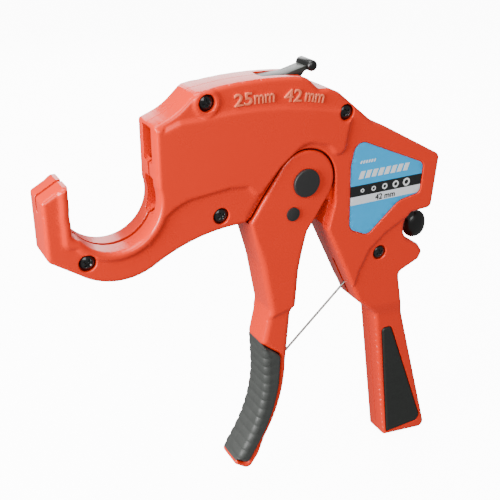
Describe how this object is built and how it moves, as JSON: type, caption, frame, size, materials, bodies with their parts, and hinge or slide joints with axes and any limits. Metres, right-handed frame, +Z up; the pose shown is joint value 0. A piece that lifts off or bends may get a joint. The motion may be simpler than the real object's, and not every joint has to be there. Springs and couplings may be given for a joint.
{
  "type": "pipe cutter",
  "caption": "Ratchet pipe cutter for plastic pipe: a hooked jaw, a curved blade fed by a squeezed front lever, a rear grip, a holding pawl with a thumb tab.",
  "frame": {"origin": "centre of the pipe seat, on the parting plane of the two housing halves", "axes": "+X from the hook to the tail, +Y along the pipe towards the right-hand housing, +Z up"},
  "size_m": [0.2307, 0.0245, 0.2467],
  "materials": {
    "paint": "orange-red gloss enamel on die casting",
    "rubber": "matt moulded rubber",
    "black_screw": "black oxide",
    "black_steel": "blackened steel",
    "zinc": "zinc plated",
    "blade_steel": "ground steel",
    "spring_steel": "drawn wire",
    "label": "printed film"
  },
  "bodies": {
    "housing": {"left_housing": "paint", "right_housing": "paint", "housing_screws": "black_screw", "housing_nuts": "zinc", "inlay_screws": "black_screw", "right_label": "label", "left_label": "label", "right_inlay": "rubber", "left_inlay": "rubber", "main_pivot_pin": "black_steel", "pivot_clip": "zinc", "pivot_washers": "zinc", "hold_pawl_pin": "zinc", "return_spring_pin": "zinc"},
    "lever": {"front_lever": "paint", "lever_grip": "rubber", "lever_link_pin": "black_steel", "drive_plates": "black_steel", "drive_pawl_pin": "zinc", "drive_pawl_spring": "spring_steel"},
    "drive_pawl": {"drive_pawl": "blade_steel"},
    "carriage": {"blade": "blade_steel", "blade_rivets": "zinc", "blade_carriage": "black_steel", "carriage_knob": "rubber"},
    "hold_pawl": {"hold_pawl": "black_steel", "hold_pawl_nose": "black_steel", "thumb_bar": "black_steel", "hold_pawl_spring": "spring_steel"},
    "return_spring": {"lever_return_spring": "spring_steel"}
  },
  "joints": [
    {"name": "lever_squeeze", "type": "hinge", "parent": "housing", "child": "lever", "pos_m": [0.101, 0, -0.005], "axis": [0, -1, 0], "range_deg": [0, 20.5], "stiffness_Nm_per_rad": 0.6},
    {"name": "carriage_feed", "type": "hinge", "parent": "housing", "child": "carriage", "pos_m": [0.065, 0, -0.095], "axis": [0, -1, 0], "range_deg": [0, 30]},
    {"name": "drive_pawl_turn", "type": "hinge", "parent": "lever", "child": "drive_pawl", "pos_m": [0.115, 0, -0.011], "axis": [0, 1, 0], "range_deg": [0, 8.2]},
    {"name": "hold_pawl_lift", "type": "hinge", "parent": "housing", "child": "hold_pawl", "pos_m": [0.083, 0, 0.0445], "axis": [0, -1, 0], "range_deg": [-6, 8], "stiffness_Nm_per_rad": 0.05},
    {"name": "return_spring_swing", "type": "hinge", "parent": "housing", "child": "return_spring", "pos_m": [0.141, 0, -0.063], "axis": [0, -1, 0], "range_deg": [0, 39]}
  ],
  "couplings": [
    {"joint": "return_spring_swing", "follows": "lever_squeeze", "ratio": 1.9}
  ]
}
